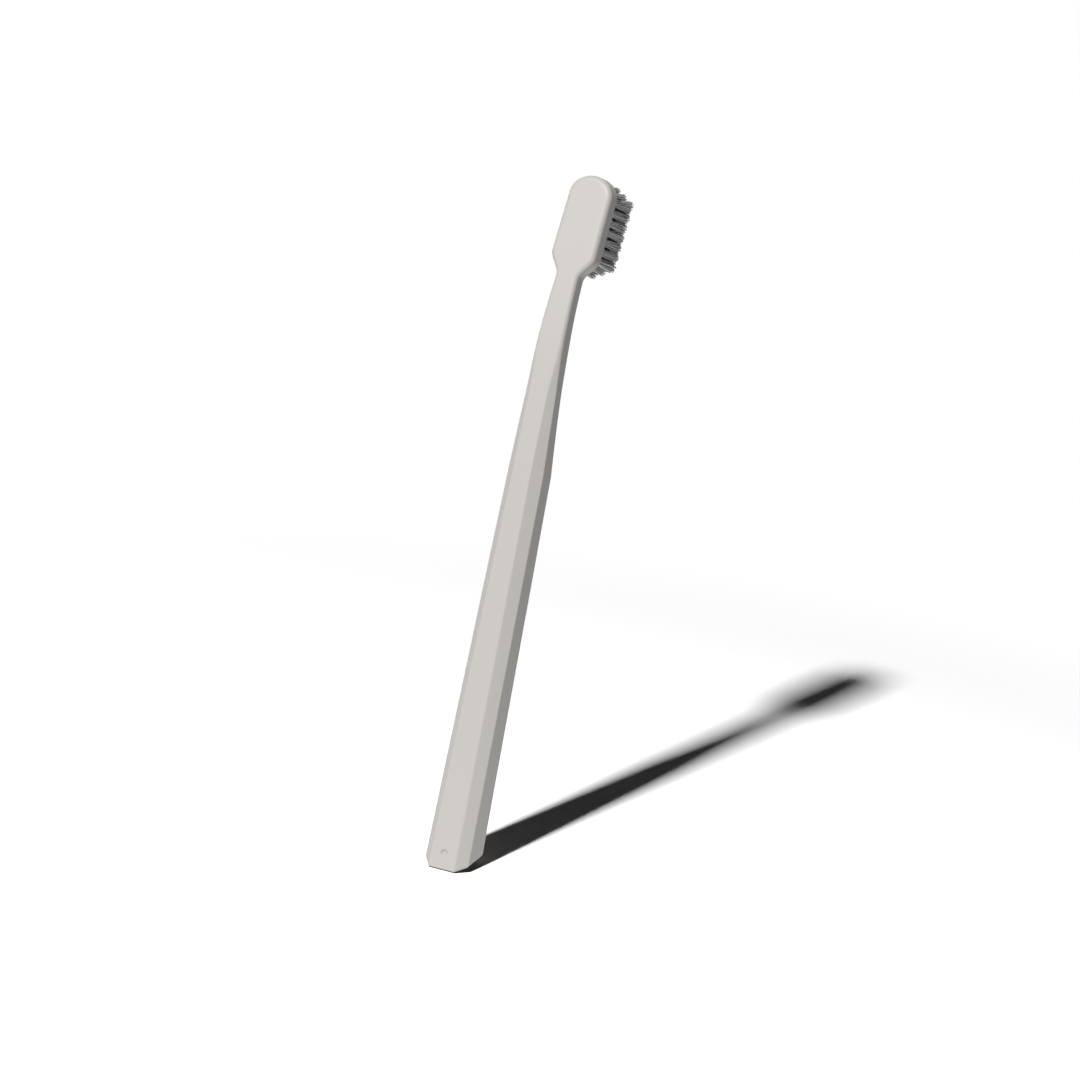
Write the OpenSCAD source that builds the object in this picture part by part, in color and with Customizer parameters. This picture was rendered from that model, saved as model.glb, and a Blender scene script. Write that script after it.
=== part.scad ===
// Manual toothbrush: a one-piece moulded handle with an eight-sided grip, a slim neck bent towards
// the bristles and a small round-ended head, drilled for tufts that flat wire anchors hold.
// The grip's axis is Z, the head is up, the bristles point to +Y and the plain back faces -Y.
// The origin is the middle of the slanted end face.

/* [Grip] */
// Width of the handle at its end
end_w = 12.2; // [10:0.1:14]
// Thickness of the handle at its end
end_t = 11.6; // [10:0.1:13]
// Slant of the end face, which rises towards the bristle side
end_slant = 24; // [0:1:30]
// Length of the eight-sided grip
grip_len = 97.7; // [80:0.1:120]
// Width of the grip where the neck begins
grip_w = 9.9; // [8:0.1:12]
// Thickness of the grip where the neck begins
grip_t = 9.3; // [7:0.1:10]
// Leg of the flats on the grip's corners
grip_flat = 2.45; // [1.8:0.05:2.8]

/* [Neck] */
// Length of the neck, from the grip to its narrowest place
neck_len = 48.5; // [40:0.5:60]
// Length over which the neck thins on the bristle side
thinning_len = 40; // [25:1:44]
// Width of the neck at its narrowest place
neck_w = 6.1; // [5:0.1:7]
// Thickness of the neck
neck_t = 4.8; // [4:0.1:5.5]
// Distance from the axis to the back face of the neck and head
neck_back = 5.3; // [4.8:0.1:5.8]
// Radius of the neck's long edges
neck_edge_r = 1.15; // [0.8:0.05:1.6]
// Length over which the corner flats fade into round edges
fade_len = 34; // [20:1:40]
// Length of the bend under the head
bend_len = 22; // [15:1:30]
// Angle of the head towards the bristle side
head_angle = 10; // [0:0.5:15]

/* [Head] */
// Length of the head, from the narrowest place of the neck to the tip
head_len = 26.1; // [24.5:0.1:30]
// Length of the shoulders that widen the neck into the head
shoulder_len = 6; // [5:0.1:8]
// Width of the head at its shoulders
head_w = 12.1; // [11:0.1:13]
// Width of the head where its rounded tip begins
head_tip_w = 11.7; // [11:0.1:13]
// Thickness of the head
head_t = 4.4; // [4.2:0.1:5.5]
// Length of the tip, which is half an ellipse
tip_len = 5; // [4:0.1:6]
// Radius of the edge round the head's back
back_edge_r = 1.4; // [0.8:0.1:1.8]
// Radius of the edge round the bristle face
rim_edge_r = 0.35; // [0.2:0.05:0.5]

/* [Tufts] */
// Distance from the tip to the middle of the tuft field
field_from_tip = 12.5; // [12.2:0.1:13]
// Distance between tufts along the head
tuft_pitch = 2.5; // [2.4:0.05:2.55]
// Distance between the lengthwise columns of tufts
column_pitch = 2.15; // [2:0.05:2.2]
// Diameter of a tuft hole
hole_d = 1.8; // [1.6:0.05:1.9]
// Depth of a tuft hole
hole_depth = 3.2; // [2.8:0.1:3.4]
// Clearance between a tuft and its hole, all round
tuft_clearance = 0.02; // [0.01:0.01:0.05]
// Height of the bristles above the face of the head
bristle_len = 11; // [8:0.5:12]
// Thickness across the corners of one strand
strand_d = 0.4; // [0.3:0.02:0.42]
// Strands in the inner ring of a tuft
inner_strands = 4; // [3:1:4]
// Strands in the outer ring of a tuft
outer_strands = 8; // [6:1:8]
// How far the tip of an outer strand leans out of its tuft
strand_spread = 0.25; // [0:0.05:0.3]

/* [Anchors] */
// Thickness of the anchor wire
anchor_t = 0.3; // [0.2:0.05:0.4]
// Height of an anchor
anchor_h = 1.3; // [1:0.1:1.5]
// Distance from the bottom of the hole to the anchor
anchor_lift = 0.5; // [0.3:0.1:0.8]
// Gap between an anchor and the folded bristles
anchor_clearance = 0.03; // [0.01:0.01:0.05]

/* [Gate mark] */
// Diameter of the moulding gate's dished mark
gate_d = 2; // [1.2:0.1:2.6]
// Depth of the gate mark
gate_depth = 0.4; // [0.2:0.05:0.5]
// Distance from the lowest edge of the end face to the gate mark
gate_up = 4; // [2:0.1:10]

/* [Hidden] */
// Tufts in each lengthwise column, from -X to +X
column_counts = [7, 8, 9, 8, 7];
column_letters = ["a", "b", "c", "d", "e"];
middle_column = (len(column_counts) - 1) / 2;
waist = grip_len + neck_len;
tip = waist + head_len;
shoulder_end = waist + shoulder_len;
tip_start = tip - tip_len;
bend_start = waist - bend_len;
bend_r = head_angle > 0 ? bend_len / (head_angle * PI / 180) : 0;
face_y = head_t - neck_back;
end_reach = end_t * tan(end_slant);
gate_r = (pow(gate_d / 2, 2) + pow(gate_depth, 2)) / (2 * gate_depth);
// Rings along the neck, the shoulders and the tip, and points round one corner
neck_steps = 16;
shoulder_steps = 8;
tip_steps = 8;
corner_steps = 5;
// The tip's last ring stands this far round the quarter ellipse, short of a point
tip_last_share = 0.92;
// How quickly the neck thins at first: 1 is a straight taper, 2 a parabola
thinning_power = 1.5;
// The neck's corner flats turn round over the end of their fade
round_from_share = 0.55;
// The most of half a side that a corner may take
corner_room_share = 0.95;
// Rings that the strands of a tuft stand on, as shares of the tuft's radius
inner_ring_share = 0.34;
outer_ring_share = 0.75;
// Depth to which a strand is rooted in its tuft, and the overrun of cuts
root_depth = 0.4;
overrun = 1;
cut_size = 4 * end_w;
round_fn = 32;
strand_sides = 4;
tuft_d = hole_d - 2 * tuft_clearance;

function tuft_name(col, n) = str("tuft_", column_letters[col], n + 1);

function mix(a, b, f) = a + (b - a) * f;
function within(v, a, b) = min(1, max(0, (v - a) / (b - a)));
function ease(f) = (1 - cos(180 * f)) / 2;
function ease_out(f) = 1 - pow(1 - f, thinning_power);
// How far a round corner of radius r has turned in at a distance v past its start
function round_in(v, r) = v <= 0 ? 0 : r - sqrt(max(0, r * r - v * v));

// Width, thickness and place of the back face at a length h along the middle line
function plain_width(h) =
    h < grip_len ? mix(end_w, grip_w, h / grip_len)
    : h < waist ? mix(grip_w, neck_w, within(h, grip_len, waist))
    : h < shoulder_end ? mix(neck_w, head_w, ease(within(h, waist, shoulder_end)))
    : mix(head_w, head_tip_w, within(h, shoulder_end, tip_start));
function width_at(h) =
    plain_width(h) * sqrt(1 - pow(max(0, h - tip_start) / tip_len, 2));
function thickness_at(h) =
    h < grip_len ? mix(end_t, grip_t, h / grip_len)
    : h < waist ? mix(grip_t, neck_t, ease_out(within(h, grip_len, grip_len + thinning_len)))
    : mix(neck_t, head_t, ease(within(h, waist, shoulder_end)));
function back_at(h) =
    mix(end_t / 2, neck_back, ease(within(h, grip_len, grip_len + thinning_len)));
// Corner legs on the back and on the bristle side, and how round they are, from 0 to 1
function fade(h) = within(h, grip_len, grip_len + fade_len);
function back_leg(h) =
    mix(mix(grip_flat, neck_edge_r, fade(h)), back_edge_r, ease(within(h, waist, shoulder_end)));
function face_leg(h) =
    mix(mix(grip_flat, neck_edge_r, fade(h)), rim_edge_r, ease(within(h, waist, shoulder_end)));
function roundness(h) = ease(within(fade(h), round_from_share, 1));

// The middle line runs straight up the grip and bends towards +Y under the head
function turn_at(h) = head_angle * within(h, bend_start, waist);
function line_y(h) =
    bend_r * (1 - cos(turn_at(h))) + max(0, h - waist) * sin(head_angle);
function line_z(h) =
    min(h, bend_start) + bend_r * sin(turn_at(h))
    + (bend_r == 0 ? max(0, min(h, waist) - bend_start) : 0) + max(0, h - waist) * cos(head_angle);
function bent(x, y, h) =
    [x, line_y(h) + y * cos(turn_at(h)), line_z(h) - y * sin(turn_at(h))];

// One corner from the side face to the face across, as a flat, a round or a blend of both
function corner(x, y, sx, sy, leg, q) = [
    for (i = [0:corner_steps])
        let (f = i / corner_steps, a = 90 * f)
        [
            sx * (x - leg + leg * mix(1 - f, cos(a), q)),
            sy * (y - leg + leg * mix(f, sin(a), q))
        ]
];
function back_to_front(list) = [for (i = [len(list) - 1:-1:0]) list[i]];

// The outline of the handle across its middle line at the length h
function section(h) =
    let (
        x = width_at(h) / 2,
        back_in = round_in(h - (tip - back_edge_r), back_edge_r),
        rim_in = round_in(h - (tip - rim_edge_r), rim_edge_r),
        back = back_at(h) - back_in,
        face = thickness_at(h) - back_at(h) - rim_in,
        most = corner_room_share * min(x, (back + face) / 2),
        back_c = min(back_leg(h), most),
        face_c = min(face_leg(h), most),
        q = roundness(h)
    )
    concat(
        corner(x, face, 1, 1, face_c, q),
        back_to_front(corner(x, face, -1, 1, face_c, q)),
        corner(x, back, -1, -1, back_c, q),
        back_to_front(corner(x, back, 1, -1, back_c, q))
    );

stations = concat(
    [-end_reach, grip_len],
    [for (i = [1:neck_steps]) grip_len + neck_len * i / neck_steps],
    [for (i = [1:shoulder_steps]) waist + shoulder_len * i / shoulder_steps],
    [for (i = [0:tip_steps]) tip_start + tip_len * sin(90 * tip_last_share * i / tip_steps)]
);

// A closed skin over the rings, with each end closed by a fan from its middle
module loft(lengths) {
    rings = [for (h = lengths) [for (p = section(h)) bent(p.x, p.y, h)]];
    n = len(rings[0]);
    last = len(rings) - 1;
    low = n * len(rings);
    high = low + 1;
    sides = [
        for (k = [0:last - 1]) for (i = [0:n - 1])
            let (j = (i + 1) % n, a = k * n + i, b = k * n + j)
            each [[a, a + n, b + n], [a, b + n, b]]
    ];
    bottom = [for (i = [0:n - 1]) [low, i, (i + 1) % n]];
    top = [for (i = [0:n - 1]) [high, last * n + (i + 1) % n, last * n + i]];
    middles = [bent(0, 0, lengths[0]), bent(0, thickness_at(tip) / 2 - back_at(tip), lengths[last])];
    polyhedron(concat([for (r = rings) each r], middles), concat(bottom, sides, top));
}

// Places a child that stands on the bristle face, along +Z, at tuft n of a column
module at_tuft(col, n) {
    across = (col - middle_column) * column_pitch;
    along = tip - waist - field_from_tip + (n - (column_counts[col] - 1) / 2) * tuft_pitch;
    translate([0, line_y(waist), line_z(waist)])
        rotate([-head_angle, 0, 0])
            translate([across, face_y, along])
                rotate([-90, 0, 0])
                    children();
}

module every_tuft() {
    for (col = [0:len(column_counts) - 1])
        for (n = [0:column_counts[col] - 1])
            at_tuft(col, n) children();
}

module tuft_hole() {
    translate([0, 0, -hole_depth])
        cylinder(h = hole_depth + overrun, d = hole_d, $fn = round_fn);
}

// A flat plate that stands across its hole and pins the folded bristles
module anchor_plate(gap) {
    translate([-hole_d / 2, -anchor_t / 2 - gap, anchor_lift - hole_depth - gap])
        cube([hole_d, anchor_t + 2 * gap, anchor_h + 2 * gap]);
}

module handle() {
    color([0.82, 0.81, 0.79])
        difference() {
            loft(stations);
            rotate([end_slant, 0, 0])
                translate([-cut_size / 2, -cut_size / 2, -cut_size])
                    cube(cut_size);
            every_tuft() tuft_hole();
            translate([0, gate_depth - gate_r - end_t / 2, gate_up - end_t / 2 * tan(end_slant)])
                sphere(r = gate_r, $fn = 2 * round_fn);
        }
}

module strand(ring_r, angle, lean) {
    length = bristle_len + root_depth;
    rotate([0, 0, angle])
        translate([ring_r, 0, -root_depth])
            rotate([0, lean, 0])
                cylinder(h = length, d = strand_d, $fn = strand_sides);
}

module tuft(col, n) {
    inner_r = inner_ring_share * tuft_d / 2;
    outer_r = outer_ring_share * tuft_d / 2;
    lean = atan(strand_spread / bristle_len);
    color([0.6, 0.6, 0.59])
        at_tuft(col, n) {
            difference() {
                translate([0, 0, -hole_depth])
                    cylinder(h = hole_depth, d = tuft_d, $fn = round_fn);
                anchor_plate(anchor_clearance);
            }
            for (i = [0:inner_strands - 1])
                strand(inner_r, (i + 0.5) * 360 / inner_strands, 0);
            for (i = [0:outer_strands - 1])
                strand(outer_r, i * 360 / outer_strands, lean);
        }
}

module anchors() {
    color([0.78, 0.66, 0.38])
        every_tuft() anchor_plate(0);
}

handle();
for (col = [0:len(column_counts) - 1])
    for (n = [0:column_counts[col] - 1])
        tuft(col, n);
anchors();
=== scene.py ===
import math

import bmesh
import bpy
from mathutils import Matrix, Vector


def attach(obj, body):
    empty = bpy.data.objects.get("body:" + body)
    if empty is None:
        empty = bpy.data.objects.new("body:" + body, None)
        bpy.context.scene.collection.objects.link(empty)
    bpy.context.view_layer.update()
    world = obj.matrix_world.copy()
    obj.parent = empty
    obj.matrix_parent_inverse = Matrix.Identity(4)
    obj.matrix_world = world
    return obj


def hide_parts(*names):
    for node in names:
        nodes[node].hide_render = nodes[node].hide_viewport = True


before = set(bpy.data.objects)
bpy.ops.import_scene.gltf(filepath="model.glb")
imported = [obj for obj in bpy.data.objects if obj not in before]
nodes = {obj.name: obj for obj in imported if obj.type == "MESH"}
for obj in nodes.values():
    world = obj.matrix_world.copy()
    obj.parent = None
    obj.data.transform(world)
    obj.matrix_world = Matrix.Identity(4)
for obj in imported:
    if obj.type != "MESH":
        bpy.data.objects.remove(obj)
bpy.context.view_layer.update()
scene = bpy.context.scene
mm = 0.001
print("frame loaded with", len(nodes), "nodes")

cameraSetup = {
    "imageSize": 1080,
    "turn": 25.92,          # degrees round from square to the back, towards the right side
    "lift": 5.41,           # degrees above square to the grip
    "upright": 24.0,        # degrees from the grip to the picture's upright, towards the back
    "distance": 4.0,        # metres from the aim
    "pixelsPerMetre": 4054.0,
    "aim": (0.0, 0.0, 0.08735),     # a place on the grip's axis
    "aimPixel": (523.5, 513.5),     # where the picture shows it
    "sensorWidth": 36.0,
    "clip": (0.1, 20.0),
}
imageSize, pixelsPerMetre = cameraSetup["imageSize"], cameraSetup["pixelsPerMetre"]
turn, lift = math.radians(cameraSetup["turn"]), math.radians(cameraSetup["lift"])
upright = math.radians(cameraSetup["upright"])
toCamera = Vector((
    math.sin(turn) * math.cos(lift),
    -math.cos(turn) * math.cos(lift),
    math.sin(lift),
))
cameraRight = Vector((0.0, -math.sin(upright), math.cos(upright))).cross(toCamera).normalized()
cameraUp = toCamera.cross(cameraRight).normalized()
aim = Vector(cameraSetup["aim"])

# The camera moves in its own plane, so that the aim shows at its pixel and the lens keeps no shift
sideways = (imageSize / 2 - cameraSetup["aimPixel"][0]) / pixelsPerMetre
downwards = (imageSize / 2 - cameraSetup["aimPixel"][1]) / pixelsPerMetre
cameraPlace = aim + toCamera * cameraSetup["distance"] + cameraRight * sideways - cameraUp * downwards

cameraData = bpy.data.cameras.new("camera")
cameraData.sensor_width = cameraSetup["sensorWidth"]
cameraData.lens = cameraSetup["sensorWidth"] * pixelsPerMetre * cameraSetup["distance"] / imageSize
cameraData.clip_start, cameraData.clip_end = cameraSetup["clip"]
camera = bpy.data.objects.new("camera", cameraData)
cameraTurn = Matrix((cameraRight, cameraUp, toCamera)).transposed().to_4x4()
camera.matrix_world = Matrix.Translation(cameraPlace) @ cameraTurn
scene.collection.objects.link(camera)
scene.camera = camera
print("camera placed")


def mix(a, b, f):
    return a + (b - a) * f


def within(v, a, b):
    return min(1.0, max(0.0, (v - a) / (b - a)))


def ease(f):
    return (1 - math.cos(math.pi * f)) / 2


def newNode(tree, kind, place, inputs=None, **settings):
    node = tree.nodes.new(kind)
    node.location = place
    for key, value in settings.items():
        setattr(node, key, value)
    for key, value in (inputs or {}).items():
        node.inputs[key].default_value = value
    return node


def newMaterial(name):
    material = bpy.data.materials.new(name)
    material.use_nodes = True
    tree = material.node_tree
    tree.nodes.clear()
    output = newNode(tree, "ShaderNodeOutputMaterial", (900, 0))
    return material, tree, output


def linkAll(tree, *pairs):
    for a, b in pairs:
        tree.links.new(a, b)


def grey(level):
    return (level, level, level, 1.0)


def meshObject(name, mesh, material=None):
    obj = bpy.data.objects.new(name, mesh)
    scene.collection.objects.link(obj)
    if material is not None:
        mesh.materials.clear()
        mesh.materials.append(material)
    return obj


plasticSetup = {
    "colour": (0.655, 0.635, 0.610, 1.0),
    "colourWarm": (0.672, 0.640, 0.606, 1.0),
    "roughness": (0.40, 0.50),
    "ior": 1.46,
    "specular": 0.42,
    "driftScale": 45.0,     # slow change of colour and sheen along the handle
    "driftDetail": 3.0,
    "grainScale": 2600.0,   # fine texture that the mould leaves
    "grainDetail": 2.0,
    "grainHeight": 0.000006,
    "grainStrength": 0.5,
}


def handlePlastic():
    material, tree, output = newMaterial("warmGreyPlastic")
    coords = newNode(tree, "ShaderNodeTexCoord", (-1100, 0))
    drift = newNode(tree, "ShaderNodeTexNoise", (-850, 250), {
        "Scale": plasticSetup["driftScale"],
        "Detail": plasticSetup["driftDetail"],
    })
    colour = newNode(tree, "ShaderNodeMix", (-550, 250), {
        "A": plasticSetup["colour"],
        "B": plasticSetup["colourWarm"],
    }, data_type="RGBA")
    sheen = newNode(tree, "ShaderNodeMapRange", (-550, 0), {
        "To Min": plasticSetup["roughness"][0],
        "To Max": plasticSetup["roughness"][1],
    })
    grain = newNode(tree, "ShaderNodeTexNoise", (-850, -300), {
        "Scale": plasticSetup["grainScale"],
        "Detail": plasticSetup["grainDetail"],
    })
    bump = newNode(tree, "ShaderNodeBump", (-250, -300), {
        "Distance": plasticSetup["grainHeight"],
        "Strength": plasticSetup["grainStrength"],
    })
    shader = newNode(tree, "ShaderNodeBsdfPrincipled", (100, 0), {
        "IOR": plasticSetup["ior"],
        "Specular IOR Level": plasticSetup["specular"],
    })
    linkAll(
        tree,
        (coords.outputs["Object"], drift.inputs["Vector"]),
        (coords.outputs["Object"], grain.inputs["Vector"]),
        (drift.outputs["Fac"], colour.inputs["Factor"]),
        (drift.outputs["Fac"], sheen.inputs["Value"]),
        (colour.outputs["Result"], shader.inputs["Base Color"]),
        (sheen.outputs["Result"], shader.inputs["Roughness"]),
        (grain.outputs["Fac"], bump.inputs["Height"]),
        (bump.outputs["Normal"], shader.inputs["Normal"]),
        (shader.outputs["BSDF"], output.inputs["Surface"]),
    )
    return material


bristleFinish = {
    "dark": (0.50, 0.50, 0.495, 1.0),   # each bristle has a tone of its own between these two
    "light": (1.0, 1.0, 0.99, 1.0),
    "roughness": 0.42,
    "ior": 1.5,
}


def bristleNylon():
    material, tree, output = newMaterial("greyNylon")
    shade = newNode(tree, "ShaderNodeAttribute", (-800, 0), attribute_name="shade")
    colour = newNode(tree, "ShaderNodeMix", (-500, 100), {
        "A": bristleFinish["dark"],
        "B": bristleFinish["light"],
    }, data_type="RGBA")
    shader = newNode(tree, "ShaderNodeBsdfPrincipled", (100, 0), {
        "Roughness": bristleFinish["roughness"],
        "IOR": bristleFinish["ior"],
    })
    linkAll(
        tree,
        (shade.outputs["Fac"], colour.inputs["Factor"]),
        (colour.outputs["Result"], shader.inputs["Base Color"]),
        (shader.outputs["BSDF"], output.inputs["Surface"]),
    )
    return material


anchorFinish = {
    "colour": (0.72, 0.55, 0.28, 1.0),
    "roughness": (0.25, 0.45),
    "grainScale": 3000.0,
}


def anchorBrass():
    material, tree, output = newMaterial("anchorBrass")
    coords = newNode(tree, "ShaderNodeTexCoord", (-900, 0))
    noise = newNode(tree, "ShaderNodeTexNoise", (-650, 0), {"Scale": anchorFinish["grainScale"]})
    sheen = newNode(tree, "ShaderNodeMapRange", (-350, 0), {
        "To Min": anchorFinish["roughness"][0],
        "To Max": anchorFinish["roughness"][1],
    })
    shader = newNode(tree, "ShaderNodeBsdfPrincipled", (100, 0), {
        "Base Color": anchorFinish["colour"],
        "Metallic": 1.0,
    })
    linkAll(
        tree,
        (coords.outputs["Object"], noise.inputs["Vector"]),
        (noise.outputs["Fac"], sheen.inputs["Value"]),
        (sheen.outputs["Result"], shader.inputs["Roughness"]),
        (shader.outputs["BSDF"], output.inputs["Surface"]),
    )
    return material


plastic, nylon, brass = handlePlastic(), bristleNylon(), anchorBrass()
print("finishes made")

# The same sizes and rules as the CAD handle, in millimetres and degrees, with rounder edges
handle = {
    "endWidth": 12.2,
    "endThickness": 11.6,
    "endSlant": 24.0,
    "gripLength": 97.7,
    "gripWidth": 9.9,
    "gripThickness": 9.3,
    "gripFlat": 2.45,       # how far each facet of the grip reaches in from the faces beside it
    "neckLength": 48.5,
    "thinningLength": 40.0,
    "thinningPower": 1.5,   # how quickly the neck thins at first, 1 for a straight taper
    "neckWidth": 6.1,
    "neckThickness": 4.8,
    "neckBack": 5.3,        # from the grip's axis to the back of the neck
    "neckEdge": 1.15,
    "fadeLength": 34.0,     # over which the facets narrow to the neck's edges
    "bendLength": 22.0,
    "headAngle": 10.0,
    "headLength": 26.1,
    "shoulderLength": 6.0,
    "headWidth": 12.1,
    "headTipWidth": 11.7,
    "headThickness": 4.4,
    "tipLength": 5.0,       # the tip is half an ellipse of this length
    "backEdge": 1.4,
    "rimEdge": 0.35,
    "facetRound": 0.6,      # radius that softens the edges between the facets
    "roundFrom": 0.55,      # share of the fade after which the facets turn into round edges
    "endEdge": 0.6,         # rounded edge of the end face
    "endReach": 0.3,        # how far past its plane the end stands, so its lowest place is the edge's
    "endFlat": 3.0,         # half width of the end face's flat middle, past which it is crowned
    "endCrown": 5.6,        # radius of the crown
    "endRings": (0.8, 0.6, 0.4, 0.2),   # the end face's inner rings, as shares of its outline
    "gateWidth": 2.0,
    "gateDepth": 0.4,
    "gateFloor": 1.2,       # width of the recess's flat bottom
    "gateUp": 4.0,          # from the lowest place of the end
    "sharpFrom": 32.0,      # turn above which an edge is shaded sharp
}

# How finely the skin is divided
handleSteps = {
    "grip": 10,
    "neck": 48,
    "shoulder": 20,
    "head": 5,
    "tip": 48,
    "end": 4,
    "arc": 4,
    "gate": 48,
    "slope": 0.05,          # millimetres either side, over which the outline's slope is taken
    "weld": 0.000001,       # points nearer than this are merged, in metres
}

# The tufts' columns and holes, in millimetres
tuftField = {
    "columns": "abcde",
    "counts": (7, 8, 9, 8, 7),
    "pitch": 2.5,
    "columnPitch": 2.15,
    "fromTip": 12.5,        # from the middle of the field to the head's tip
    "holeRadius": 0.9,
    "holeDepth": 3.2,
    "holeOver": 1.0,        # how far the drill starts above the face
    "holeSides": 20,
}
waist = handle["gripLength"] + handle["neckLength"]
tip = waist + handle["headLength"]
shoulderEnd = waist + handle["shoulderLength"]
tipStart = tip - handle["tipLength"]
bendStart = waist - handle["bendLength"]
headAngle = math.radians(handle["headAngle"])
bendRadius = handle["bendLength"] / headAngle
faceY = handle["headThickness"] - handle["neckBack"]
facetTurn = 45.0            # degrees from each face to the facet beside it
halfTurn = math.tan(math.radians(facetTurn / 2))


def plainWidth(h):
    if h < handle["gripLength"]:
        return mix(handle["endWidth"], handle["gripWidth"], h / handle["gripLength"])
    if h < waist:
        return mix(handle["gripWidth"], handle["neckWidth"], within(h, handle["gripLength"], waist))
    if h < shoulderEnd:
        return mix(handle["neckWidth"], handle["headWidth"], ease(within(h, waist, shoulderEnd)))
    return mix(handle["headWidth"], handle["headTipWidth"], within(h, shoulderEnd, tipStart))


def thinningAt(h):
    return within(h, handle["gripLength"], handle["gripLength"] + handle["thinningLength"])


def thicknessAt(h):
    if h < handle["gripLength"]:
        return mix(handle["endThickness"], handle["gripThickness"], h / handle["gripLength"])
    if h < waist:
        thinned = 1 - (1 - thinningAt(h)) ** handle["thinningPower"]
        return mix(handle["gripThickness"], handle["neckThickness"], thinned)
    return mix(handle["neckThickness"], handle["headThickness"], ease(within(h, waist, shoulderEnd)))


def backAt(h):
    return mix(handle["endThickness"] / 2, handle["neckBack"], ease(thinningAt(h)))


def fadeAt(h):
    return within(h, handle["gripLength"], handle["gripLength"] + handle["fadeLength"])


def legAt(h, headLeg):
    leg = mix(handle["gripFlat"], handle["neckEdge"], fadeAt(h))
    return mix(leg, headLeg, ease(within(h, waist, shoulderEnd)))


def roundness(h):
    return ease(within(fadeAt(h), handle["roundFrom"], 1.0))


def bent(x, y, h):
    # a place at this height along the handle, after the neck's bend, in metres
    past, angle = max(0.0, h - waist), headAngle * within(h, bendStart, waist)
    lineY = bendRadius * (1 - math.cos(angle)) + past * math.sin(headAngle)
    lineZ = min(h, bendStart) + bendRadius * math.sin(angle) + past * math.cos(headAngle)
    return Vector((x, lineY + y * math.cos(angle), lineZ - y * math.sin(angle))) * mm


def outlineSlope(h):
    step = handleSteps["slope"]
    return (plainWidth(h + step) - plainWidth(h - step)) / (4 * step)


def facetCorner(leg, share, stretch, radius=handle["facetRound"]):
    # one corner as (in from the side, in from the face), from the side face to the other:
    # a facet with softened edges where share is 0, and one round edge where it is 1
    arc = mix(radius, leg, share)
    total = mix(leg + radius * halfTurn, leg, share)
    steps = handleSteps["arc"]
    points = []
    for i in range(steps + 1):
        a = math.radians(facetTurn * i / steps)
        points.append((arc * (1 - math.cos(a)), total - arc * math.sin(a)))
    mirrored = [(b, a) for a, b in reversed(points)]
    return [(a * stretch, b) for a, b in points + mirrored]


def ringAt(h):
    back, share = backAt(h), roundness(h)
    half, front = plainWidth(h) / 2, thicknessAt(h) - back
    stretch = math.sqrt(1 + outlineSlope(h) ** 2) if h > waist else 1.0
    frontCorner = facetCorner(legAt(h, handle["rimEdge"]), share, stretch)
    backCorner = facetCorner(legAt(h, handle["backEdge"]), share, stretch)
    frontPoints = [(half - a, front - b) for a, b in frontCorner]
    backPoints = [(half - a, -back + b) for a, b in backCorner]
    ring = list(frontPoints)
    ring += [(-x, y) for x, y in reversed(frontPoints)]
    ring += [(-x, y) for x, y in backPoints]
    ring += [(x, y) for x, y in reversed(backPoints)]
    return [bent(x, y, h) for x, y in ring]


def endPoint(x, y, down=0.0):
    # a place where the end's rounded edge begins, or this far below it: the end slants
    # from the back to the front, and curves up past the flat middle of its width
    slope = math.tan(math.radians(handle["endSlant"]))
    crown = max(0.0, abs(x) - handle["endFlat"]) ** 2 / (2 * handle["endCrown"])
    return Vector((x, y, y * slope + crown + handle["endEdge"] - handle["endReach"] - down)) * mm


def endRing(angle):
    # the outline of the end, turned inwards round its edge by this angle
    edge = handle["endEdge"]
    inset, down = edge * (1 - math.cos(angle)), edge * math.sin(angle)
    half, front = handle["endWidth"] / 2 - inset, handle["endThickness"] / 2 - inset
    leg = handle["gripFlat"] - inset * (2 - math.sqrt(2))
    corner = facetCorner(leg, 0.0, 1.0, handle["facetRound"] - inset)
    quarter = [(half - a, front - b) for a, b in corner]
    ring = quarter + [(-x, y) for x, y in reversed(quarter)]
    ring += [(-x, -y) for x, y in quarter] + [(x, -y) for x, y in reversed(quarter)]
    return [endPoint(x, y, down) for x, y in ring]


def tipProfile(angle):
    # from the bristle face over both edges to the back, at one place round the tip's half ellipse
    wide, long = handle["headTipWidth"] / 2, handle["tipLength"]
    out = Vector((long * math.cos(angle), wide * math.sin(angle))).normalized()
    rim = facetCorner(handle["rimEdge"], 1.0, 1.0)
    backCorner = facetCorner(handle["backEdge"], 1.0, 1.0)
    edges = [(a, faceY - b) for a, b in reversed(rim)]
    edges += [(a, b - handle["neckBack"]) for a, b in backCorner]
    points = []
    for inward, y in edges:
        x = wide * math.cos(angle) - out.x * inward
        past = long * math.sin(angle) - out.y * inward
        points.append(bent(x, y, tipStart + past))
    return points


def stations():
    def along(start, length, steps):
        return [start + length * i / steps for i in range(1, steps + 1)]

    places = along(0.0, handle["gripLength"], handleSteps["grip"])
    places += along(handle["gripLength"], handle["neckLength"], handleSteps["neck"])
    places += along(waist, handle["shoulderLength"], handleSteps["shoulder"])
    steps = handleSteps["head"]
    places += [mix(shoulderEnd, tipStart, i / steps) for i in range(1, steps + 1)]
    return places


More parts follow.
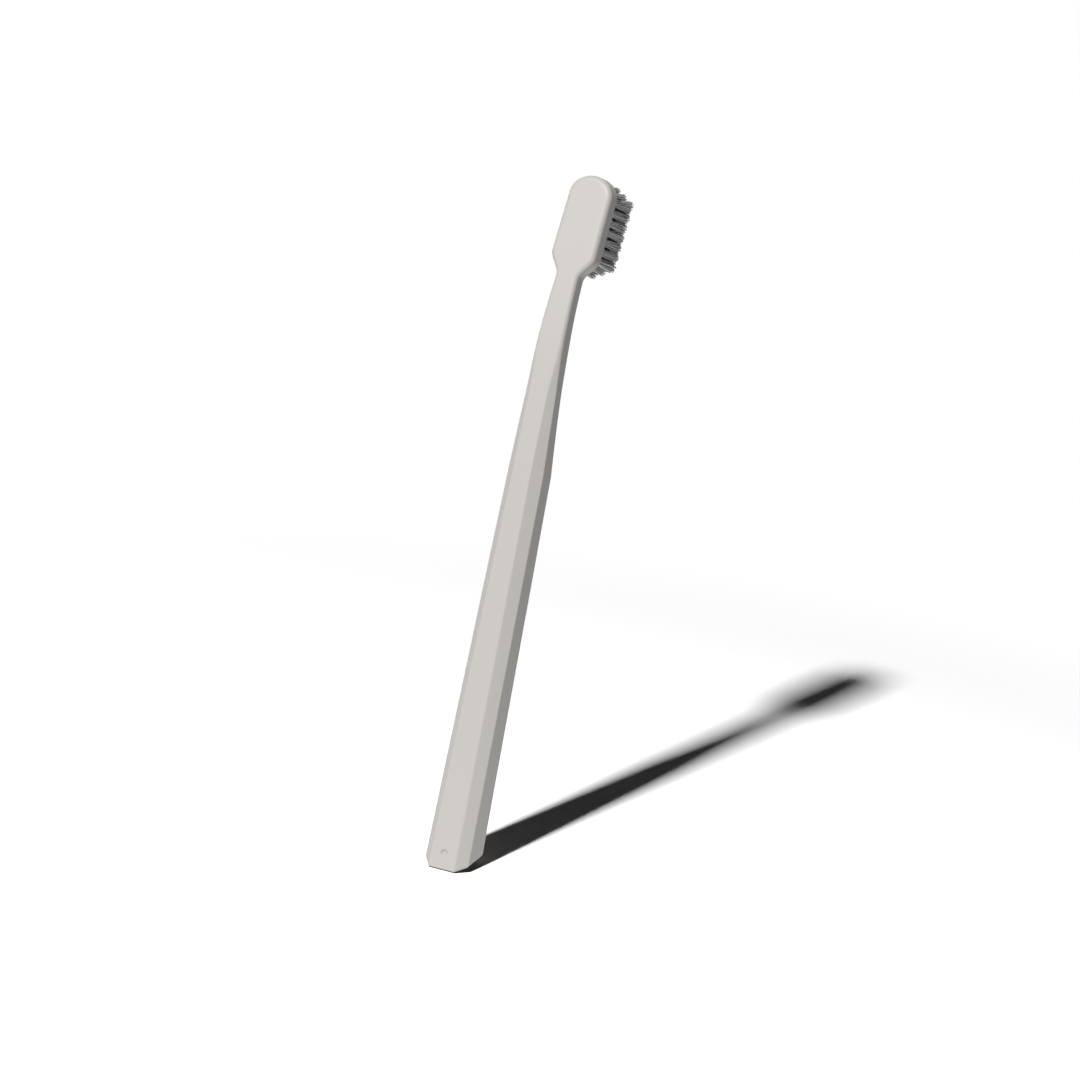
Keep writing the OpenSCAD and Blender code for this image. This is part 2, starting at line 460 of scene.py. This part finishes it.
def tuftPlaces():
    # each tuft as (name, matrix to its root on the bristle face, nearest the tip or not, share across)
    middle = (len(tuftField["counts"]) - 1) / 2
    fieldMiddle = tip - waist - tuftField["fromTip"]
    base = Matrix.Translation(bent(0, 0, waist)) @ Matrix.Rotation(-headAngle, 4, "X")
    places = []
    for column, count in enumerate(tuftField["counts"]):
        for n in range(count):
            across = (column - middle) * tuftField["columnPitch"]
            along = fieldMiddle + (n - (count - 1) / 2) * tuftField["pitch"]
            root = Matrix.Translation(Vector((across, faceY, along)) * mm)
            matrix = base @ root @ Matrix.Rotation(math.radians(-90), 4, "X")
            name = tuftField["columns"][column] + str(n + 1)
            places.append((name, matrix, n == count - 1, (column - middle) / middle))
    return places


def handleBody():
    # closed skin of the whole handle: end face, rings up to the tip's start, and the tip
    bm = bmesh.new()
    steps = handleSteps["end"]
    ends = [endRing(math.pi / 2 * i / steps) for i in range(steps, -1, -1)]
    inner = [
        [endPoint(p.x / mm * share, p.y / mm * share, handle["endEdge"]) for p in ends[0]]
        for share in reversed(handle["endRings"])
    ]
    outlines = inner + ends + [ringAt(h) for h in stations()]
    rings = [[bm.verts.new(p) for p in outline] for outline in outlines]
    middle = bm.verts.new(endPoint(0, 0, handle["endEdge"]))
    count = len(rings[0])
    for i in range(count):
        bm.faces.new((middle, rings[0][(i + 1) % count], rings[0][i]))
    for low, high in zip(rings, rings[1:]):
        for i in range(count):
            j = (i + 1) % count
            bm.faces.new((low[i], low[j], high[j], high[i]))
    last, quarter, steps = rings[-1], count // 4, handleSteps["tip"]
    right = list(reversed(last[:quarter])) + list(reversed(last[3 * quarter :]))
    left = last[quarter : 3 * quarter]
    between = [
        [bm.verts.new(p) for p in tipProfile(math.pi * i / steps)] for i in range(1, steps)
    ]
    profiles = [right] + between + [left]
    for near, far in zip(profiles, profiles[1:]):
        for i in range(len(near) - 1):
            bm.faces.new((near[i], near[i + 1], far[i + 1], far[i]))
    bm.faces.new([profile[0] for profile in profiles])
    bm.faces.new([profile[-1] for profile in profiles])
    bmesh.ops.remove_doubles(bm, verts=bm.verts, dist=handleSteps["weld"])
    bmesh.ops.recalc_face_normals(bm, faces=bm.faces)
    mesh = bpy.data.meshes.new("handleSkin")
    bm.to_mesh(mesh)
    bm.free()
    return mesh


def holeCutters():
    # a drill for each tuft's hole, and a blunt cone for the gate recess
    bm = bmesh.new()
    radius, depth, over = (tuftField[key] * mm for key in ("holeRadius", "holeDepth", "holeOver"))
    for name, matrix, atTip, across in tuftPlaces():
        drill = bmesh.ops.create_cone(
            bm, cap_ends=True, segments=tuftField["holeSides"],
            radius1=radius, radius2=radius, depth=depth + over,
        )
        move = matrix @ Matrix.Translation((0, 0, (over - depth) / 2))
        bmesh.ops.transform(bm, matrix=move, verts=drill["verts"])
    slant = math.radians(handle["endSlant"])
    gateZ = handle["gateUp"] - handle["endThickness"] / 2 * math.tan(slant)
    gateSlope = (handle["gateWidth"] - handle["gateFloor"]) / 2 / handle["gateDepth"]
    gatePlace = Matrix.Translation(Vector((0, -handle["endThickness"] / 2, gateZ)) * mm)
    bmesh.ops.create_cone(
        bm, cap_ends=True, segments=handleSteps["gate"], depth=2 * handle["gateDepth"] * mm,
        radius1=handle["gateFloor"] / 2 * mm,
        radius2=(handle["gateFloor"] / 2 + 2 * handle["gateDepth"] * gateSlope) * mm,
        matrix=gatePlace @ Matrix.Rotation(math.radians(90), 4, "X"),
    )
    mesh = bpy.data.meshes.new("holes")
    bm.to_mesh(mesh)
    bm.free()
    return mesh


def makeHandle():
    skin = meshObject("handle_moulding", handleBody(), plastic)
    cutter = meshObject("holes", holeCutters())
    drill = skin.modifiers.new("drill", "BOOLEAN")
    drill.object, drill.operation, drill.solver = cutter, "DIFFERENCE", "EXACT"
    depsgraph = bpy.context.evaluated_depsgraph_get()
    drilled = bpy.data.meshes.new_from_object(skin.evaluated_get(depsgraph))
    skin.modifiers.clear()
    skin.data = drilled
    bpy.data.objects.remove(cutter)
    drilled.materials.clear()
    drilled.materials.append(plastic)
    for polygon in drilled.polygons:
        polygon.use_smooth = True
        polygon.material_index = 0
    drilled.set_sharp_from_angle(angle=math.radians(handle["sharpFrom"]))
    weighted = skin.modifiers.new("weighted normals", "WEIGHTED_NORMAL")
    weighted.keep_sharp = True
    return skin


handleSkin = makeHandle()
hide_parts("handle")
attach(handleSkin, "root")
print("handle made with", len(handleSkin.data.polygons), "faces")

bristles = {
    "count": 84,
    "tuftRadius": 0.80,     # millimetres, as all lengths here
    "length": 10.6,
    "rootDepth": 1.2,
    "thickness": 0.20,
    "flareAlong": 0.56,     # how far the outer bristles lean out along the head
    "flareAcross": 0.30,
    "tipFlare": 1.0,        # the same along the head, in the tuft nearest the tip
    "stray": 0.07,
    "lengthSpread": 0.22,
    "lean": 0.8,            # degrees that the tufts lean towards the head's tip
    "tipLean": 2.6,         # the same in the tuft nearest the tip
    "sideLean": 0.3,        # degrees that the outer columns lean out
    "sides": 4,
    "points": 6,            # along each bristle
    "goldenAngle": 2.399963,    # radians from each root to the next
    "rootJitter": 0.25,     # radians
    "bendPower": 1.35,      # 1 for a straight bristle, more for a bend nearer its tip
    "firstSeed": 7,
    "seedStep": 100,
}
# What sets apart the random draws of one tuft
salts = {"root": 11, "strayX": 23, "strayY": 37, "short": 53, "shorter": 59, "shade": 71}


def tuftTree():
    tree = bpy.data.node_groups.new("tuftOfBristles", "GeometryNodeTree")
    link = tree.links.new
    face = tree.interface
    face.new_socket("Geometry", in_out="INPUT", socket_type="NodeSocketGeometry")
    sizes = [
        ("Count", "NodeSocketInt", bristles["count"]),
        ("Tuft Radius", "NodeSocketFloat", bristles["tuftRadius"] * mm),
        ("Length", "NodeSocketFloat", bristles["length"] * mm),
        ("Root Depth", "NodeSocketFloat", bristles["rootDepth"] * mm),
        ("Thickness", "NodeSocketFloat", bristles["thickness"] * mm),
        ("Flare Along", "NodeSocketFloat", bristles["flareAlong"] * mm),
        ("Flare Across", "NodeSocketFloat", bristles["flareAcross"] * mm),
        ("Stray", "NodeSocketFloat", bristles["stray"] * mm),
        ("Length Spread", "NodeSocketFloat", bristles["lengthSpread"] * mm),
        ("Lean Along", "NodeSocketFloat", 0.0),
        ("Lean Across", "NodeSocketFloat", 0.0),
        ("Seed", "NodeSocketInt", bristles["firstSeed"]),
        ("Material", "NodeSocketMaterial", None),
    ]
    for name, kind, value in sizes:
        socket = face.new_socket(name, in_out="INPUT", socket_type=kind)
        if value is not None:
            socket.default_value = value
    face.new_socket("Geometry", in_out="OUTPUT", socket_type="NodeSocketGeometry")
    given = newNode(tree, "NodeGroupInput", (-1800, 0)).outputs
    result = newNode(tree, "NodeGroupOutput", (1800, 0))

    def calc(kind, a, b=None, place=(0, 0)):
        node = newNode(tree, "ShaderNodeMath", place, operation=kind)
        for socket, value in zip(node.inputs, (a, b)):
            if value is None:
                continue
            if isinstance(value, (int, float)):
                socket.default_value = value
            else:
                link(value, socket)
        return node.outputs[0]

    def randomFloat(low, high, salt, place):
        node = newNode(tree, "FunctionNodeRandomValue", place, data_type="FLOAT")
        floats = [s for s in node.inputs if s.type == "VALUE"]
        floats[0].default_value, floats[1].default_value = low, high
        seed = calc("ADD", given["Seed"], salts[salt], (place[0] - 180, place[1]))
        link(seed, node.inputs["Seed"])
        return next(s for s in node.outputs if s.type == "VALUE")

    def keepOnPoints(name, kind, points, value, place):
        keep = newNode(
            tree, "GeometryNodeStoreNamedAttribute", place, {"Name": name},
            data_type=kind, domain="POINT",
        )
        link(points, keep.inputs["Geometry"])
        link(value, keep.inputs["Value"])
        return keep.outputs[0]

    # roots spread evenly over the hole: each is turned by the golden angle from the last
    index = newNode(tree, "GeometryNodeInputIndex", (-1700, 500)).outputs[0]
    ordinal = calc("ADD", index, 0.5, (-1500, 600))
    share = calc("DIVIDE", ordinal, given["Count"], (-1350, 600))
    root = calc("SQRT", share, None, (-1200, 600))
    reach = calc("MULTIPLY", root, given["Tuft Radius"], (-1050, 600))
    spiral = calc("MULTIPLY", index, bristles["goldenAngle"], (-1500, 450))
    jitter = randomFloat(-bristles["rootJitter"], bristles["rootJitter"], "root", (-1500, 300))
    around = calc("ADD", spiral, jitter, (-1200, 450))
    rootX = calc("MULTIPLY", reach, calc("COSINE", around, None, (-1050, 450)), (-900, 500))
    rootY = calc("MULTIPLY", reach, calc("SINE", around, None, (-1050, 330)), (-900, 380))
    rootPlace = newNode(tree, "ShaderNodeCombineXYZ", (-750, 450))
    link(rootX, rootPlace.inputs[0])
    link(rootY, rootPlace.inputs[1])
    roots = newNode(tree, "GeometryNodePoints", (-550, 450))
    link(given["Count"], roots.inputs["Count"])
    link(rootPlace.outputs[0], roots.inputs["Position"])

    # where each tip goes, kept on its root: flare outwards, a lean of the tuft, a stray of its own
    acrossShare = calc("DIVIDE", given["Flare Across"], given["Tuft Radius"], (-900, 200))
    alongShare = calc("DIVIDE", given["Flare Along"], given["Tuft Radius"], (-900, 80))
    outX = calc("MULTIPLY", rootX, acrossShare, (-700, 250))
    outY = calc("MULTIPLY", rootY, alongShare, (-700, 100))
    drawX = randomFloat(-1.0, 1.0, "strayX", (-700, -50))
    strayX = calc("MULTIPLY", drawX, given["Stray"], (-500, -50))
    drawY = randomFloat(-1.0, 1.0, "strayY", (-700, -200))
    strayY = calc("MULTIPLY", drawY, given["Stray"], (-500, -200))
    tipX = calc("ADD", outX, strayX, (-350, 150))
    tipX = calc("ADD", tipX, given["Lean Across"], (-200, 150))
    tipY = calc("ADD", outY, strayY, (-350, 0))
    tipY = calc("ADD", tipY, given["Lean Along"], (-200, 0))

    # the product of two draws leaves most near the trimmed height and a few clearly shorter
    drawShort = randomFloat(0.0, 1.0, "short", (-700, -350))
    short = calc("MULTIPLY", drawShort, given["Length Spread"], (-500, -350))
    drawShorter = randomFloat(-1.0, 0.0, "shorter", (-700, -500))
    tipZ = calc("MULTIPLY", short, drawShorter, (-350, -350))
    tipMove = newNode(tree, "ShaderNodeCombineXYZ", (-50, 50))
    for value, socket in zip((tipX, tipY, tipZ), tipMove.inputs):
        link(value, socket)
    kept = keepOnPoints("tipMove", "FLOAT_VECTOR", roots.outputs[0], tipMove.outputs[0], (0, 450))
    shade = randomFloat(0.0, 1.0, "shade", (0, 250))
    kept = keepOnPoints("shade", "FLOAT", kept, shade, (200, 450))

    # one straight bristle, stood on every root
    start = newNode(tree, "ShaderNodeCombineXYZ", (0, 800))
    link(calc("MULTIPLY", given["Root Depth"], -1.0, (-150, 800)), start.inputs[2])
    end = newNode(tree, "ShaderNodeCombineXYZ", (0, 650))
    link(given["Length"], end.inputs[2])
    line = newNode(tree, "GeometryNodeCurvePrimitiveLine", (200, 750))
    link(start.outputs[0], line.inputs["Start"])
    link(end.outputs[0], line.inputs["End"])
    cut = newNode(tree, "GeometryNodeResampleCurve", (380, 750), {"Count": bristles["points"]})
    link(line.outputs[0], cut.inputs["Curve"])
    stand = newNode(tree, "GeometryNodeInstanceOnPoints", (560, 500))
    link(kept, stand.inputs["Points"])
    link(cut.outputs[0], stand.inputs["Instance"])
    real = newNode(tree, "GeometryNodeRealizeInstances", (740, 500))
    link(stand.outputs[0], real.inputs[0])

    # bend it: the move of the tip fades towards the root
    place = newNode(tree, "GeometryNodeInputPosition", (560, 250))
    apart = newNode(tree, "ShaderNodeSeparateXYZ", (700, 250))
    link(place.outputs[0], apart.inputs[0])
    above = calc("MAXIMUM", apart.outputs[2], 0.0, (840, 250))
    height = calc("DIVIDE", above, given["Length"], (980, 250))
    strength = calc("POWER", height, bristles["bendPower"], (1100, 250))
    named = newNode(
        tree, "GeometryNodeInputNamedAttribute", (700, 50), {"Name": "tipMove"},
        data_type="FLOAT_VECTOR",
    )
    scaled = newNode(tree, "ShaderNodeVectorMath", (1200, 100), operation="SCALE")
    link(named.outputs["Attribute"], scaled.inputs[0])
    link(strength, scaled.inputs["Scale"])
    bend = newNode(tree, "GeometryNodeSetPosition", (1000, 500))
    link(real.outputs[0], bend.inputs["Geometry"])
    link(scaled.outputs[0], bend.inputs["Offset"])

    section = newNode(
        tree, "GeometryNodeCurvePrimitiveCircle", (1000, 750), {"Resolution": bristles["sides"]},
        mode="RADIUS",
    )
    link(calc("MULTIPLY", given["Thickness"], 0.5, (850, 800)), section.inputs["Radius"])
    body = newNode(tree, "GeometryNodeCurveToMesh", (1200, 500), {"Fill Caps": True})
    link(bend.outputs[0], body.inputs["Curve"])
    link(section.outputs[0], body.inputs["Profile Curve"])
    last = newNode(tree, "GeometryNodeRealizeInstances", (1380, 500))
    link(body.outputs[0], last.inputs[0])
    finish = newNode(tree, "GeometryNodeSetMaterial", (1560, 500))
    link(last.outputs[0], finish.inputs["Geometry"])
    link(given["Material"], finish.inputs["Material"])
    link(finish.outputs[0], result.inputs[0])
    return tree


def growTuft(tree, name, matrix, atTip, across, seed):
    host = meshObject("tuftHost", bpy.data.meshes.new("tuftHost"))
    grow = host.modifiers.new("grow", "NODES")
    grow.node_group = tree
    ids = {s.name: s.identifier for s in tree.interface.items_tree if s.in_out == "INPUT"}
    lean = math.radians(bristles["tipLean" if atTip else "lean"])
    sideLean = math.radians(bristles["sideLean"] * across)
    values = {
        "Flare Along": bristles["tipFlare" if atTip else "flareAlong"] * mm,
        "Lean Along": -math.tan(lean) * bristles["length"] * mm,
        "Lean Across": math.tan(sideLean) * bristles["length"] * mm,
        "Seed": seed,
        "Material": nylon,
    }
    for key, value in values.items():
        grow[ids[key]] = value
    depsgraph = bpy.context.evaluated_depsgraph_get()
    mesh = bpy.data.meshes.new_from_object(host.evaluated_get(depsgraph))
    bpy.data.objects.remove(host)
    mesh.name = name
    mesh.transform(matrix)
    if "tipMove" in mesh.attributes:
        mesh.attributes.remove(mesh.attributes["tipMove"])
    for polygon in mesh.polygons:
        polygon.use_smooth = True
    return meshObject(name, mesh, nylon)


tree = tuftTree()
made = 0
for number, (name, matrix, atTip, across) in enumerate(tuftPlaces()):
    seed = number * bristles["seedStep"] + bristles["firstSeed"]
    tuft = growTuft(tree, "bristles_" + name, matrix, atTip, across, seed)
    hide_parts("tuft_" + name)
    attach(tuft, "root")
    made += len(tuft.data.polygons)
print("bristles made with", made, "faces")

anchors = nodes["anchors"]
anchors.data.materials.clear()
anchors.data.materials.append(brass)

light = {
    "direction": (-0.0145, -0.802, 0.5965),     # towards the lamp
    "level": 0.88,          # of a white surface that faces the lamp
    "distance": 0.9,        # metres from the aim
    "size": (0.049, 0.050),     # across and up
    "bounce": 0.88,         # light from the floor under the object
    "bounceFar": 0.50,      # the same from the floor's rim
    "bounceDepth": 1.5,     # rays that have met more than this get the sky's level from the floor
    "sky": 0.009,
    "floorTilt": 13.0,      # degrees off square to the grip, so the end's low edge alone touches
    "floorGap": 0.00028,    # between the floor and the end's low edge, dark in the photo
    "floorRadius": 0.32,
    "floorSides": 96,
    "floorColours": (1.0, 1.3),     # of its two layers, which show the lit floor white
    "whiteFrom": 0.20,      # from here the floor fades into the white background
    "whiteTo": 0.28,
}


def floorMaterial():
    material, tree, output = newMaterial("whiteFloor")
    path = newNode(tree, "ShaderNodeLightPath", (-600, 500))
    sides = newNode(tree, "ShaderNodeNewGeometry", (-600, 100))
    coords = newNode(tree, "ShaderNodeTexCoord", (-1000, -200))
    far = newNode(tree, "ShaderNodeVectorMath", (-800, -200), operation="LENGTH")
    edge = newNode(tree, "ShaderNodeMapRange", (-600, -200), {
        "From Min": light["whiteFrom"],
        "From Max": light["whiteTo"],
    }, interpolation_type="SMOOTHSTEP")
    plainGrey, brightGrey = (grey(level) for level in light["floorColours"])
    lit = newNode(tree, "ShaderNodeBsdfDiffuse", (-400, -50), {"Color": plainGrey})
    litMore = newNode(tree, "ShaderNodeBsdfDiffuse", (-400, -200), {"Color": brightGrey})
    both = newNode(tree, "ShaderNodeAddShader", (-200, -100))
    white = newNode(tree, "ShaderNodeEmission", (-400, -350))
    once = newNode(
        tree, "ShaderNodeMath", (-200, 350), {1: light["bounceDepth"]}, operation="LESS_THAN"
    )
    bounceNear = newNode(tree, "ShaderNodeMapRange", (-400, 450), {
        "To Min": light["bounce"],
        "To Max": light["bounceFar"],
    })
    bounceLevel = newNode(tree, "ShaderNodeMapRange", (0, 350), {"To Min": light["sky"]})
    seen = newNode(tree, "ShaderNodeMixShader", (0, -150))
    through = newNode(tree, "ShaderNodeBsdfTransparent", (0, 100))
    front = newNode(tree, "ShaderNodeMixShader", (200, 0))
    bounce = newNode(tree, "ShaderNodeEmission", (200, 250))
    final = newNode(tree, "ShaderNodeMixShader", (500, 100))
    linkAll(
        tree,
        (coords.outputs["Object"], far.inputs[0]),
        (far.outputs["Value"], edge.inputs["Value"]),
        (lit.outputs[0], both.inputs[0]),
        (litMore.outputs[0], both.inputs[1]),
        (edge.outputs["Result"], seen.inputs["Fac"]),
        (both.outputs[0], seen.inputs[1]),
        (white.outputs[0], seen.inputs[2]),
        (sides.outputs["Backfacing"], front.inputs["Fac"]),
        (seen.outputs[0], front.inputs[1]),
        (through.outputs[0], front.inputs[2]),
        (path.outputs["Ray Depth"], once.inputs[0]),
        (once.outputs[0], bounceLevel.inputs["Value"]),
        (edge.outputs["Result"], bounceNear.inputs["Value"]),
        (bounceNear.outputs["Result"], bounceLevel.inputs["To Max"]),
        (bounceLevel.outputs["Result"], bounce.inputs["Strength"]),
        (path.outputs["Is Camera Ray"], final.inputs["Fac"]),
        (bounce.outputs[0], final.inputs[1]),
        (front.outputs[0], final.inputs[2]),
        (final.outputs[0], output.inputs["Surface"]),
    )
    return material


def makeFloor():
    bm = bmesh.new()
    bmesh.ops.create_circle(
        bm, cap_ends=True, segments=light["floorSides"], radius=light["floorRadius"]
    )
    mesh = bpy.data.meshes.new("floor")
    bm.to_mesh(mesh)
    bm.free()
    floor = meshObject("floor", mesh, floorMaterial())
    tilt = math.radians(light["floorTilt"])
    up = Vector((0.0, -math.sin(tilt), math.cos(tilt)))
    level = min(v.co.dot(up) for v in handleSkin.data.vertices) - light["floorGap"]
    floor.matrix_world = Matrix.Translation(up * level) @ Matrix.Rotation(tilt, 4, "X")
    return floor


makeFloor()

toLight = Vector(light["direction"]).normalized()
lampData = bpy.data.lights.new("key", "AREA")
lampData.shape = "RECTANGLE"
lampData.size, lampData.size_y = light["size"]
lampData.energy = light["level"] * math.pi**2 * light["distance"] ** 2
lamp = bpy.data.objects.new("key", lampData)
lampTurn = toLight.to_track_quat("Z", "Y").to_matrix().to_4x4()
lamp.matrix_world = Matrix.Translation(aim + toLight * light["distance"]) @ lampTurn
scene.collection.objects.link(lamp)


def makeWorld():
    # white to the camera, reflections and see-through rays, and the sky's level to all else
    world = bpy.data.worlds.new("white")
    world.use_nodes = True
    tree = world.node_tree
    tree.nodes.clear()
    path = newNode(tree, "ShaderNodeLightPath", (-600, 0))
    seenOne = newNode(tree, "ShaderNodeMath", (-400, 0), operation="MAXIMUM")
    seenTwo = newNode(tree, "ShaderNodeMath", (-200, 0), operation="MAXIMUM")
    strength = newNode(tree, "ShaderNodeMapRange", (0, 0), {
        "To Min": light["sky"],
        "To Max": 1.0,
    })
    background = newNode(tree, "ShaderNodeBackground", (200, 0), {"Color": grey(1.0)})
    output = newNode(tree, "ShaderNodeOutputWorld", (400, 0))
    linkAll(
        tree,
        (path.outputs["Is Camera Ray"], seenOne.inputs[0]),
        (path.outputs["Is Glossy Ray"], seenOne.inputs[1]),
        (seenOne.outputs[0], seenTwo.inputs[0]),
        (path.outputs["Is Transmission Ray"], seenTwo.inputs[1]),
        (seenTwo.outputs[0], strength.inputs["Value"]),
        (strength.outputs["Result"], background.inputs["Strength"]),
        (background.outputs[0], output.inputs["Surface"]),
    )
    return world


scene.world = makeWorld()
scene.view_settings.view_transform = "Standard"
print("floor, light and world made, light from", [round(c, 3) for c in toLight])
